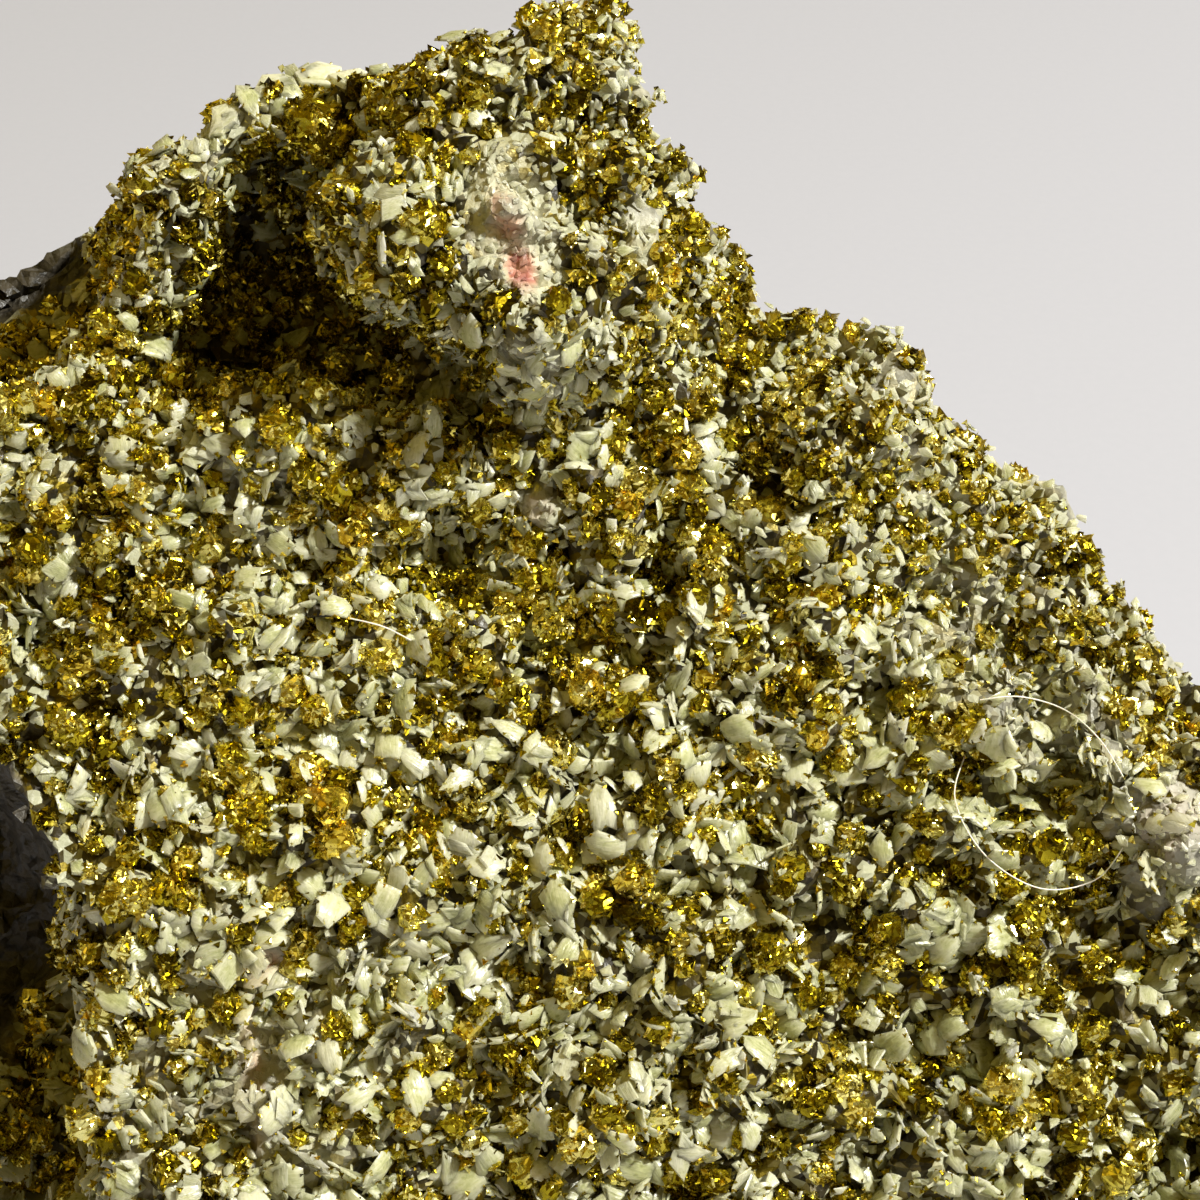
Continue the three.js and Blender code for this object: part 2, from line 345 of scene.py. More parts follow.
# Places on the crystal face where little chalcopyrite grows, each by its middle across and up and
# its half axes in mm, its turn in degrees, and how bare it is
BARE_PLACES = (
    ((-5.4, 22.6), (2.4, 5.2), 18, 1.0),
    ((-4.0, 13.4), (2.9, 3.3), 0, 0.6),
    ((2.8, 22.8), (1.7, 2.0), 0, 0.95),
    ((2.4, 31.3), (1.0, 2.6), 0, 0.9),
    ((-3.6, 5.5), (1.6, 1.5), 0, 1.0),
    ((27.0, -8.0), (6.0, 6.0), 0, 0.6),
    ((33.5, -14.0), (3.8, 4.6), 0, 0.95),
    ((21.0, 6.0), (5.5, 1.6), -48, 0.5),
    ((-20.5, -25.5), (9.5, 11.5), 25, 0.5),
    ((22.5, -1.5), (4.5, 6.5), -45, 0.45),
    ((-20.8, 6.8), (3.2, 3.8), 0, 0.6),
    ((-24.2, 28.6), (4.8, 1.9), 35, 0.65),
    ((3.6, 30.5), (2.4, 4.5), 15, 0.7),
    ((16.5, 15.5), (5.0, 1.8), -48, 0.6),
    ((-20.0, -29.0), (2.4, 5.4), 0, 0.9),
    ((-20.0, -21.8), (1.9, 1.4), 0, 0.9),
    ((-29.5, -35.0), (3.4, 2.2), 30, 0.7),
)
# Places where the dolomite is massive, with no crystals on it
MASSIVE_PLACES = (
    ((-5.3, 22.4), (3.7, 6.2), 15, 1.5),
    ((-3.2, 5.4), (1.6, 1.45), 0, 1.0),
    ((2.8, 22.8), (1.4, 1.7), 0, 0.7),
    ((-20.2, -29.0), (1.8, 4.4), 0, 0.8),
    ((-20.0, -21.8), (1.5, 1.1), 0, 1.0),
    ((34.0, -13.8), (2.8, 3.6), 0, 0.85),
    ((-3.9, 13.6), (2.9, 3.3), -10, 0.5),
)
# Places where the block lies further back, by up to the given mm
SET_BACK_PLACES = (
    ((6.4, 27.0), (3.6, 5.0), 20, 1.1),
    ((4.8, 31.4), (2.4, 3.4), 15, 1.9),
    ((-8.6, 35.2), (4.6, 2.6), 12, 1.1),
    ((-3.0, 37.0), (3.0, 2.0), 0, 0.9),
    ((-18.2, 16.0), (7.0, 4.4), -8, 3.4),
    ((-19.8, 22.6), (3.9, 5.2), -12, 4.2),
    ((-14.8, 27.6), (1.8, 3.4), 10, 2.8),
    ((33.0, -35.0), (4.4, 3.2), 15, 2.6),
    ((4.6, -36.0), (2.4, 1.8), 0, 2.2),
    ((27.4, -26.5), (2.6, 2.0), 0, 2.0),
    ((3.7, 3.2), (1.6, 3.0), 0, 2.0),
    ((-4.3, -2.6), (1.8, 1.8), 0, 2.0),
    ((-9.4, 1.6), (2.2, 2.0), -30, 2.0),
    ((7.2, -0.6), (1.6, 1.8), 0, 1.4),
    ((22.4, -3.1), (2.0, 2.0), 0, 1.2),
    ((-34.6, -1.8), (2.4, 1.8), 0, 1.6),
    ((-9.9, 24.8), (1.3, 1.7), 0, 1.6),
)
# Places where the block stands further out, by up to the given mm
SWOLLEN_PLACES = (
    ((-12.4, 23.6), (3.4, 3.8), -25, 3.6),
    ((-12.6, 19.6), (3.2, 3.0), 20, 2.8),
    ((-8.6, 20.5), (3.6, 5.2), 0, 1.6),
    ((-6.2, 21.4), (2.6, 5.6), 15, 1.3),
    ((-4.6, 15.0), (2.8, 2.6), -10, 0.8),
    ((-3.4, 13.4), (2.0, 2.2), 0, 0.7),
    ((-18.5, 9.4), (6.4, 3.0), -4, 3.2),
    ((-12.0, 8.6), (6.0, 3.0), 0, 2.2),
    ((27.2, 5.0), (2.4, 2.8), -45, 1.5),
    ((22.6, 9.6), (2.2, 2.6), -45, 0.9),
    ((-30.2, 22.6), (2.2, 2.6), 0, 0.8),
    ((-1.5, 34.5), (3.6, 2.2), 0, 1.0),
    ((-3.2, 5.4), (1.8, 1.7), 0, 1.8),
    ((34.0, -13.5), (4.6, 5.2), 0, 1.8),
    ((-17.2, -14.3), (2.8, 2.6), 0, 1.4),
    ((-16.9, -25.8), (2.6, 2.6), 0, 1.3),
    ((0.0, -30.2), (2.6, 2.4), 0, 1.4),
    ((8.6, -35.6), (2.0, 2.0), 0, 1.2),
    ((-27.7, 6.8), (2.6, 2.4), 0, 1.4),
    ((-3.2, 32.5), (2.0, 1.8), 0, 1.0),
    ((9.1, -19.6), (2.4, 2.2), 0, 1.3),
)
# Places that lie deep and in shadow, with how much shade is painted on each: the rock there is painted
# near black, the crystals are fewer and painted darker, and none grow where it is 1 or more
PAINTED_SHADE_PLACES = (
    ((-36.6, 20.9), (8.0, 4.3), 28, 2.2),
    ((-18.6, 16.0), (8.4, 4.6), -8, 0.75),
    ((-19.8, 22.4), (3.8, 5.0), -12, 0.65),
    ((-14.8, 27.0), (1.6, 3.6), 10, 0.75),
    ((-41.0, -18.5), (9.5, 14.0), -3, 1.8),
    ((33.0, -35.0), (4.4, 3.2), 15, 0.75),
    ((4.6, -36.0), (2.4, 1.8), 0, 0.7),
    ((27.4, -26.5), (2.6, 2.0), 0, 0.7),
    ((3.7, 3.2), (1.6, 3.0), 0, 0.6),
    ((-4.3, -2.6), (1.8, 1.8), 0, 0.6),
    ((-9.4, 1.6), (2.2, 2.0), -30, 0.6),
    ((-9.9, 24.8), (1.3, 1.7), 0, 0.6),
    ((23.0, -23.0), (18.0, 15.0), 0, 0.5),
)


def face_place(places):
    """How far across the crystal face and up it each place shows to the camera, in mm."""
    away = places - np.array(FACE_MIDDLE)
    nearer = CAMERA_DISTANCE / (CAMERA_DISTANCE - away @ np.array(OUT)) / MM
    return away @ np.array(ACROSS) * nearer, away @ np.array(UP_FACE) * nearer


def nearness(places, spots_on_face):
    """How close each place is to the nearest of the spots, from 0 to the spot's own amount."""
    across, up = face_place(places)
    ragged = 0.25 * cloud(places, 2.4 * MM, seed=9)
    most = np.zeros(len(places))
    for (middle_across, middle_up), (half_across, half_up), turn, amount in spots_on_face:
        angle = math.radians(turn)
        along = (across - middle_across) * math.cos(angle) + (up - middle_up) * math.sin(angle)
        over = (up - middle_up) * math.cos(angle) - (across - middle_across) * math.sin(angle)
        distance = np.hypot(along / half_across, over / half_up) + ragged
        most = np.maximum(most, amount * (1 - smooth(distance, 0.55, 1.15)))
    return most


def averaged(piece, values, rounds):
    """The vertices' values after the given rounds, in each of which all take their neighbours' mean."""
    flat = np.empty(len(piece.data.edges) * 2, np.int32)
    piece.data.edges.foreach_get("vertices", flat)
    one, other = flat.reshape(-1, 2).T
    count = np.bincount(flat, minlength=len(values))[:, None]
    for _ in range(rounds):
        total = np.zeros_like(values)
        np.add.at(total, one, values[other])
        np.add.at(total, other, values[one])
        values = total / count
    return values


cad_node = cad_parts["chalcopyrite_on_dolomite"]
rock = bpy.data.objects.new("dolomite_block", cad_node.data.copy())
bpy.context.scene.collection.objects.link(rock)
select_only(rock)
bpy.ops.object.mode_set(mode="EDIT")
bpy.ops.mesh.select_all(action="SELECT")
bpy.ops.mesh.remove_doubles(threshold=TOUCHING)
bpy.ops.object.mode_set(mode="OBJECT")
apply_modifier(rock, "REMESH", {"mode": "VOXEL", "voxel_size": VOXEL})
bpy.ops.object.mode_set(mode="EDIT")
bpy.ops.mesh.separate(type="LOOSE")
bpy.ops.object.mode_set(mode="OBJECT")
shells = sorted(bpy.context.selected_objects, key=lambda shell: len(shell.data.vertices))
rock = shells.pop()
rock.name = "dolomite_block"
for bubble in shells:
    bpy.data.objects.remove(bubble)
apply_modifier(rock, "SMOOTH", {"factor": 0.5, "iterations": 5})

# The druse covers the leaning face, with the walls of its hollows, but not the outer sides, and
# none grows where the face is shut, in the heart of a place of deep painted shade
spots = positions(rock)
outward = normals(rock)
above_base = smooth(spots[:, 2], *BASE_BAND)
straight = outward @ np.array(OUT)
facing = np.maximum(straight, averaged(rock, outward, FACING_ROUNDS) @ np.array(OUT))
on_face = smooth(facing + 0.12 * cloud(spots, 4.3 * MM, seed=8), 0.0, 0.35) * above_base
in_front = smooth(facing, -0.6, 0.1)
massive = np.minimum(nearness(spots, MASSIVE_PLACES), 1) * on_face
# How much shade is painted on each vertex, softened at its edges; it also thins the crystals
painted_shade_amount = (nearness(spots, PAINTED_SHADE_PLACES) * in_front)[:, None]
painted_shade_amount = averaged(rock, painted_shade_amount, PAINTED_SHADE_EDGE_ROUNDS)[:, 0]
dark = np.minimum(painted_shade_amount, 1)
shut = smooth(painted_shade_amount, 0.8, 1)
bare = nearness(spots, BARE_PLACES) * in_front
weigh(rock, "druse", on_face * (1 - shut))
weigh(rock, "bare", bare)
weigh(rock, "dark", dark)
weigh(rock, "broken", (1 - on_face) * above_base)
weigh(rock, "raised", above_base)
weigh(rock, "massive", massive)

# The rock is less rough at the left and where it is massive, and rougher at the lower right. It lies
# back by the height of the crystals that grow on it. lift is in mm.
across, up = face_place(spots)
relief = 1 - 0.4 * smooth(-across, 3, 18) + 0.35 * smooth(across - up, 12, 36) - 0.5 * massive
lift = relief * (2.2 * cloud(spots, 3.4 * MM, seed=3) + 0.7 * cloud(spots, 1.5 * MM, seed=4))
lift *= above_base * (0.35 + 0.65 * smooth(straight, 0.1, 0.6))
hidden_by_crystals = smooth(straight, -0.75, 0.1) * above_base
lift += on_face * 0.5 * massive - hidden_by_crystals * CRYSTAL_HEIGHT
moved = nearness(spots, SWOLLEN_PLACES) - nearness(spots, SET_BACK_PLACES)
lift += moved * in_front * above_base
set_positions(rock, spots + outward * (lift * MM)[:, None])
apply_modifier(rock, "DISPLACE", {
    "texture": rough_texture("grit", "CLOUDS", 0.9 * MM, noise_depth=3), "texture_coords": "LOCAL",
    "strength": 0.8 * MM, "mid_level": 0.5, "vertex_group": "raised_group",
})
apply_modifier(rock, "DISPLACE", {
    "texture": rough_texture("ledges", "VORONOI", 4.5 * MM, distance_metric="DISTANCE"),
    "texture_coords": "LOCAL", "strength": 1.6 * MM, "mid_level": 0.5,
    "vertex_group": "broken_group",
})
spots = positions(rock)
spots[:, 2] = np.where(spots[:, 2] < FLAT_BASE, 0, spots[:, 2])
set_positions(rock, spots)

# Rusty pink stains, laid out as the bare places are
PINK_STAINS = (
    ((-5.6, 22.6), (0.8, 2.9), 20, 0.5),
    ((-4.7, 19.7), (0.95, 1.7), 10, 1.0),
    ((-20.1, -21.8), (1.4, 1.0), 0, 0.45),
    ((-21.0, -29.0), (0.7, 4.8), 0, 0.35),
    ((-3.7, 5.6), (1.3, 1.1), 0, 0.2),
    ((34.0, -13.5), (2.6, 3.2), 0, 0.12),
)


def keep_stain(piece, share=1):
    """Keeps how stained each vertex is, broken up by a fine cloud."""
    places = positions(piece)
    amount = nearness(places, PINK_STAINS) * share
    near = np.nonzero(amount > 0)[0]
    amount[near] *= 0.75 + 0.9 * cloud(places[near], 0.9 * MM, seed=6)
    kept = piece.data.attributes.new("stain", "FLOAT", "POINT")
    kept.data.foreach_set("value", np.clip(amount, 0, 1).astype(np.float32))


keep_stain(rock, in_front)


def stained(tree, colour):
    """The colour given, with the rusty pink stain over it."""
    stain = tree.add("ShaderNodeAttribute", {"attribute_name": "stain"}, {}, "Fac")
    rust = tree.colours(stain, [
        (0.0, (0.70, 0.52, 0.38)), (0.5, (0.58, 0.32, 0.22)), (1.0, (0.36, 0.10, 0.08)),
    ])
    return tree.mix((stain * 1.6).clamped(), colour, rust)


def dolomite_rock():
    """Pale grainy rock, painted near black as shade where it lies deep, with a dark brassy crust where
    the druse grows, partly painted shade in the gaps.
    """
    made, tree = material("dolomite_rock")
    place = tree.place()
    druse = tree.add("ShaderNodeAttribute", {"attribute_name": "druse"}, {}, "Fac")
    bare_share = tree.add("ShaderNodeAttribute", {"attribute_name": "bare"}, {}, "Fac")
    grain = tree.noise(place, scale=1100, detail=3, rough=0.65)
    patches = tree.noise(place, scale=140)
    pale = tree.colours(grain, [
        (0.30, (0.22, 0.22, 0.13)), (0.50, (0.46, 0.44, 0.29)), (0.72, (0.68, 0.64, 0.46)),
    ])
    broken = tree.mix(tree.range(patches, 0.42, 0.62), pale, (0.36, 0.35, 0.29, 1))
    grit_cells = tree.add("ShaderNodeTexVoronoi", {}, {"Vector": place, "Scale": 1500}, "Color")
    # The crust where the druse grows: a dark brassy coat on the rock, and partly painted shade, near
    # black, in the gaps between the crystals
    grit_pick = tree.add("ShaderNodeSeparateColor", {}, {"Color": grit_cells}, "Red")
    crust_and_gap_shade = tree.colours(grit_pick, [
        (0.0, (0.012, 0.008, 0.002)), (0.35, (0.06, 0.045, 0.01)), (0.6, (0.24, 0.18, 0.02)),
        (0.8, (0.36, 0.36, 0.24)),
    ])
    covered = (druse * (1 - bare_share)).clamped()
    # Painted shade: the broken rock turns near black where shade is painted on it
    painted_shade_share = tree.add("ShaderNodeAttribute", {"attribute_name": "dark"}, {}, "Fac")
    broken = tree.mix(painted_shade_share, broken, tree.colours(grain, [
        (0.35, (0.010, 0.008, 0.005)), (0.65, (0.050, 0.040, 0.024)),
    ]))
    finish_material(tree, {
        "Base Color": tree.mix(covered, stained(tree, broken), crust_and_gap_shade),
        "Metallic": covered * tree.range(grit_pick, 0.35, 0.4) * tree.range(grit_pick, 0.7, 0.65),
        "Roughness": tree.range(grain, 0.3, 0.7, 0.35, 0.7),
        "Normal": tree.add("ShaderNodeBump", {}, {
            "Strength": 0.7, "Distance": 0.12 * MM,
            "Height": tree.noise(place, scale=2600, rough=0.7),
            "Normal": tree.leaning(grit_cells, 0.35),
        }),
    })
    return made


def finished(piece, coat):
    """Gives a piece its material, keeps it from going into the table, and lets it ride along."""
    places = positions(piece)
    places[:, 2] = np.maximum(places[:, 2], 0)
    set_positions(piece, places)
    piece.data.materials.clear()
    piece.data.materials.append(coat)
    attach(piece, "root")


finished(rock, dolomite_rock())
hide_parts("chalcopyrite_on_dolomite")

# ------------------------------------------------------------------------------------------------
# The chalcopyrite rosettes: brassy balls, 1 to 4 mm across, crowded over the face. Each is a
# faceted heart, which the small sharp crystals of the next section cover.


def new_variant(add_shape, **sizes):
    bpy.ops.object.select_all(action="DESELECT")
    add_shape(**sizes)
    return bpy.context.object


def scatter(name, ground, variants, spacing, density, seed, tilt, sizes, rise, kin=(1, 0)):
    """Copies of the variants spread over the ground, joined in one mesh, each with its own tint.

    spacing is the least distance between two, density the ground's attribute that thins them out,
    tilt how far they lean from the ground's normal, and rise how far they stand off it. kin is the
    width of a patch whose copies lean alike, and how far they do, with tilt and lean in radians.
    """
    group = bpy.data.collections.new(name + "_variants")
    bpy.context.scene.collection.children.link(group)
    for variant in variants:
        for owner in list(variant.users_collection):
            owner.objects.unlink(variant)
        group.objects.link(variant)
    node_group = bpy.data.node_groups.new(name, "GeometryNodeTree")
    node_group.interface.new_socket("Geometry", in_out="OUTPUT", socket_type="NodeSocketGeometry")
    tree = Tree(node_group)
    ground_mesh = tree.add("GeometryNodeObjectInfo", {}, {"Object": ground}, "Geometry")
    factor = tree.add("GeometryNodeInputNamedAttribute", {}, {"Name": density}, "Attribute")
    crowd = 4 / spacing ** 2  # more than there is room for, so that the spacing sets how many stay
    points = tree.add("GeometryNodeDistributePointsOnFaces", {"distribute_method": "POISSON"}, {
        "Mesh": ground_mesh, "Distance Min": spacing, "Density Max": crowd,
        "Density Factor": factor, "Seed": seed,
    }, "Points")

    def chance(low, high, draw, kind="FLOAT"):
        return tree.add("FunctionNodeRandomValue", {"data_type": kind}, {
            "Min": low, "Max": high, "Seed": seed * 10 + draw,
        }, "Value")

    offset = tree.add("ShaderNodeVectorMath", {"operation": "SCALE"}, {
        "Vector": points.beside("Normal"), "Scale": chance(rise[0], rise[1], 1),
    })
    raised = tree.add("GeometryNodeSetPosition", {}, {"Geometry": points, "Offset": offset})
    lean_by = tree.add("FunctionNodeEulerToRotation", {}, {
        "Euler": chance((-tilt, -tilt, -math.pi), (tilt, tilt, math.pi), 2, "FLOAT_VECTOR"),
    })
    # The noise stays near its middle, so it is stretched to lean a whole patch to either side
    patch = tree.add("ShaderNodeTexNoise", {}, {"Scale": 1 / kin[0], "Detail": 0}, "Color")
    patch_lean = tree.add("ShaderNodeVectorMath", {"operation": "MULTIPLY_ADD"}, {
        0: patch, 1: (4 * kin[1],) * 3, 2: (-2 * kin[1],) * 3,
    })
    kept_upright = tree.add("FunctionNodeRotateRotation", {"rotation_space": "GLOBAL"}, {
        "Rotation": points.beside("Rotation"),
        "Rotate By": tree.add("FunctionNodeEulerToRotation", {}, {"Euler": patch_lean}),
    })
    turned = tree.add("FunctionNodeRotateRotation", {"rotation_space": "LOCAL"}, {
        "Rotation": kept_upright, "Rotate By": lean_by,
    })
    choice = tree.add("GeometryNodeCollectionInfo", {}, {
        "Collection": group, "Separate Children": True, "Reset Children": True,
    })
    copies = tree.add("GeometryNodeInstanceOnPoints", {}, {
        "Points": raised, "Instance": choice, "Pick Instance": True,
        "Instance Index": chance(0, len(variants) - 1, 3, "INT"),
        "Rotation": turned, "Scale": chance(sizes[0], sizes[1], 4),
    })
    tinted = tree.add("GeometryNodeStoreNamedAttribute", {"domain": "INSTANCE"}, {
        "Geometry": copies, "Name": "tint", "Value": chance(0.0, 1.0, 5),
    })
    tree.add("NodeGroupOutput", {}, {
        "Geometry": tree.add("GeometryNodeRealizeInstances", {}, {"Geometry": tinted}),
    })
    piece = bpy.data.objects.new(name, bpy.data.meshes.new(name))
    bpy.context.scene.collection.objects.link(piece)
    apply_modifier(piece, "NODES", {"node_group": node_group})
    for variant in variants:
        bpy.data.objects.remove(variant)
    bpy.data.collections.remove(group)
    return piece


def keep_own_place(piece, chooser):
    """Keeps each vertex's place on its own crystal, in mm, for grain that turns with the crystal."""
    shift = np.array([chooser.uniform(0, 50) for _ in range(3)])
    own = piece.data.attributes.new("own", "FLOAT_VECTOR", "POINT")
    own.data.foreach_set("vector", (positions(piece) / MM + shift).astype(np.float32).ravel())


def rosette_heart(seed):
    """A ball of a few dozen uneven facets, 1 mm in radius."""
    heart = new_variant(
        bpy.ops.mesh.primitive_uv_sphere_add, segments=7, ring_count=5, radius=1 * MM,
    )
    bpy.ops.object.mode_set(mode="EDIT")
    bpy.ops.mesh.select_all(action="SELECT")
    bpy.ops.transform.vertex_random(offset=0.16 * MM, uniform=1, normal=0, seed=seed)
    # The ball is made with its faces in another order each time, so they are put in one order, by
    # their distance from the middle, and the crystals then grow in the same places each time
    bpy.ops.mesh.sort_elements(type="CURSOR_DISTANCE", elements={"EDGE", "FACE"})
    bpy.ops.object.mode_set(mode="OBJECT")
    crown = heart.data.attributes.new("crown", "FLOAT", "POINT")
    crown.data.foreach_set("value", smooth(positions(heart)[:, 2], -0.25 * MM, 0.1 * MM))
    keep_own_place(heart, random.Random(seed))
    return heart


# The chalcopyrite grows in patches, most crowded at the upper left and along the right shoulder. All
# crystals are fine on the right shoulder, and the dolomite's are coarse on the lower face.
spots = positions(rock)
gold_cloud = 0.6 * cloud(spots, 6.1 * MM, seed=5) + 0.8 * cloud(spots, 2.7 * MM, seed=1)
gold_cloud += 0.7 * cloud(spots, 1.3 * MM, seed=2)
gold_cloud += 0.006 * (up - across)
gold_cloud += 0.15 * smooth(across, 2, 9) * smooth(up, -4, 2)
fine = smooth(0.7 * across + 0.72 * up, 9, 16) * smooth(across, -7, -2)
coarse = smooth(-up, 2, 9) * (1 - fine)
grown = on_face * (1 - massive) * (1 - dark)
gold_share = on_face * (1 - massive) * (1 - shut) * (1 - bare)
gold_share *= smooth(gold_cloud, -0.55, 0.0)
pale_share = grown * (1 - 0.65 * (1 - bare) * smooth(gold_cloud, -0.3, 0.35))
weigh(rock, "grown", grown)
weigh(rock, "gold_ground", gold_share * (1 - fine))
weigh(rock, "fine_gold_ground", gold_share * fine)
weigh(rock, "pale_ground", pale_share * (1 - fine) * (1 - coarse))
weigh(rock, "fine_pale_ground", pale_share * fine)
weigh(rock, "coarse_pale_ground", pale_share * coarse)

rosettes = scatter(
    "chalcopyrite_rosettes", rock, [rosette_heart(seed) for seed in range(8)],
    spacing=1.5 * MM, density="gold_ground", seed=1, tilt=0.5, sizes=(0.6, 1.25),
    rise=(-0.2 * MM, 0.4 * MM),
)
fine_rosettes = scatter(
    "fine_rosettes", rock, [rosette_heart(seed) for seed in range(8)],
    spacing=1.05 * MM, density="fine_gold_ground", seed=11, tilt=0.5, sizes=(0.4, 0.8),
    rise=(-0.1 * MM, 0.3 * MM),
)

# The largest rosettes, each by its place across and up the face, and its radius in mm
LARGE_ROSETTES = (
    (-17.3, 29.0, 1.9), (-10.7, 22.4, 1.25), (8.3, 20.8, 0.9), (7.0, 2.8, 1.3), (6.6, 4.0, 0.9),
    (-2.2, 11.0, 0.8), (-2.6, 9.4, 0.7), (-25.5, 13.0, 1.3), (-19.0, 10.5, 1.4), (17.4, 0.0, 0.8),
    (-32.0, -7.5, 1.5), (-20.0, -14.0, 1.2), (9.0, -25.0, 1.5), (30.0, -22.0, 1.3),
)
LARGE_RISE = 0.35  # how far a large rosette's middle stands off the rock, as a share of its radius
FIRST_LARGE_SEED = 50  # so that no large rosette has the shape of a small one


def seat(across, up):
    """The place on the rock that shows at this spot of the face, and the way the rock faces."""
    aim = FACE_MIDDLE + (ACROSS * across + UP_FACE * up) * MM
    _, place, normal, _ = rock.ray_cast(camera.location, (aim - camera.location).normalized())
    return place, normal


def keep_tint(piece, tint):
    attributes = piece.data.attributes
    kept = attributes.get("tint") or attributes.new("tint", "FLOAT", "POINT")
    kept.data.foreach_set("value", [tint] * len(piece.data.vertices))


bpy.context.view_layer.update()
large = []
for number, (across, up, radius) in enumerate(LARGE_ROSETTES):
    heart = rosette_heart(FIRST_LARGE_SEED + number)
    place, normal = seat(across, up)
    upright = normal.to_track_quat("Z", "Y")
    middle = place + normal * radius * LARGE_RISE * MM
    heart.data.transform(Matrix.LocRotScale(middle, upright, (radius,) * 3))
    keep_tint(heart, 0.5)
    large.append(heart)
select_only(rosettes)
for heart in (*large, fine_rosettes):
    heart.select_set(True)
bpy.ops.object.join()


def paint_shade_in_hollows(piece, share):
    """Paints shade on the crystals where they grow in a shaded hollow, darkening their tint by up to
    the share given.
    """
    kept = piece.data.attributes["tint"]
    tint = np.empty(len(piece.data.vertices), np.float32)
    kept.data.foreach_get("value", tint)
    tint *= 1 - share * np.minimum(nearness(positions(piece), PAINTED_SHADE_PLACES), 1)
    kept.data.foreach_set("value", tint)


# Painted shade on the rosettes in the hollows
paint_shade_in_hollows(rosettes, share=0.3)


def chalcopyrite():
    """Bright brass in uneven facets, tarnished dark on some crystals and orange on others."""
    made, tree = material("chalcopyrite")
    place = tree.place()
    # The tint is each crystal's own tone, with shade painted in for the hollows
    tint = tree.add("ShaderNodeAttribute", {"attribute_name": "tint"}, {}, "Fac")
    tarnish = tree.noise(place, scale=500, detail=1)
    grain = tree.noise(place, scale=5200, detail=1)
    own = tree.add("ShaderNodeAttribute", {"attribute_name": "own"}, {}, "Vector")
    drawn_out = tree.add("ShaderNodeVectorMath", {"operation": "MULTIPLY"}, {0: own, 1: (1.8, 5, 1.8)})
    facets = tree.add("ShaderNodeTexVoronoi", {}, {"Vector": drawn_out, "Scale": 1}, "Color")
    brass = tree.colours(tint * 0.7 + tarnish * 0.3, [
        (0.15, (0.06, 0.04, 0.001)), (0.32, (0.22, 0.165, 0.006)), (0.50, (0.56, 0.45, 0.025)),
        (0.68, (0.95, 0.88, 0.34)), (0.83, (0.80, 0.60, 0.06)), (0.95, (0.72, 0.38, 0.02)),
    ])
    finish_material(tree, {
        "Base Color": brass,
        "Metallic": 1.0,
        "Roughness": tree.range(grain, 0.3, 0.7, 0.14, 0.34),
        "Normal": tree.leaning(facets, 0.4),
    })
    return made


brass = chalcopyrite()
finished(rosettes, brass)

# ------------------------------------------------------------------------------------------------
# The small chalcopyrite crystals: sharp bright sphenoids, 0.4 to 1 mm long, that cover the rosettes
# and grow out of them at all angles. Each is a wedge of four faces, a little out of true.


def sphenoid(seed):
    """A wedge of four faces, 1 mm along its edges; every third one is thin, like a blade."""
    chooser = random.Random(seed)
    wedge = new_variant(
        bpy.ops.mesh.primitive_cone_add, vertices=3, radius1=0.6 * MM,
        depth=chooser.uniform(0.5, 0.9) * MM,
    )
    places = positions(wedge)
    places[:, 0] *= chooser.uniform(0.35, 0.6) if seed % 3 == 1 else chooser.uniform(0.8, 1.1)
    set_positions(wedge, places)
    bpy.ops.object.mode_set(mode="EDIT")
    bpy.ops.mesh.select_all(action="SELECT")
    bpy.ops.transform.vertex_random(offset=0.08 * MM, uniform=1, normal=0, seed=seed)
    bpy.ops.object.mode_set(mode="OBJECT")
    keep_own_place(wedge, chooser)
    return wedge


crystals = scatter(
    "chalcopyrite_crystals", rosettes, [sphenoid(seed) for seed in range(8)],
    spacing=0.305 * MM, density="crown", seed=2, tilt=1.0, sizes=(0.4, 1.0),
    rise=(-0.16 * MM, 0.04 * MM),
)
# Painted shade on the small crystals in the hollows
paint_shade_in_hollows(crystals, share=0.3)
finished(crystals, brass)

# ------------------------------------------------------------------------------------------------
# The dolomite blades: thin milky plates, ragged in outline and a little saddle-bent, 1 to 4 mm
# long, that grow at all angles between the rosettes, often two or three on one foot.

PLATE_LENGTH, PLATE_WIDTH = 2.0, 1.4  # mm, of a plate as it is made
PLATE_SWELL = 0.07 * MM  # by which a plate is fuller in its middle than at its rim
SHARP = math.radians(50)  # edges sharper than this stay crisp


def pick_top_face(piece):
    """Goes into edit mode with only the flat top of a plate selected."""
    select_only(piece)
    bpy.ops.object.mode_set(mode="EDIT")
    bpy.ops.mesh.select_mode(type="FACE")
    bpy.ops.mesh.select_all(action="DESELECT")
    bpy.ops.object.mode_set(mode="OBJECT")
    for face in piece.data.polygons:
        face.select = face.normal.z > 0.9
    bpy.ops.object.mode_set(mode="EDIT")


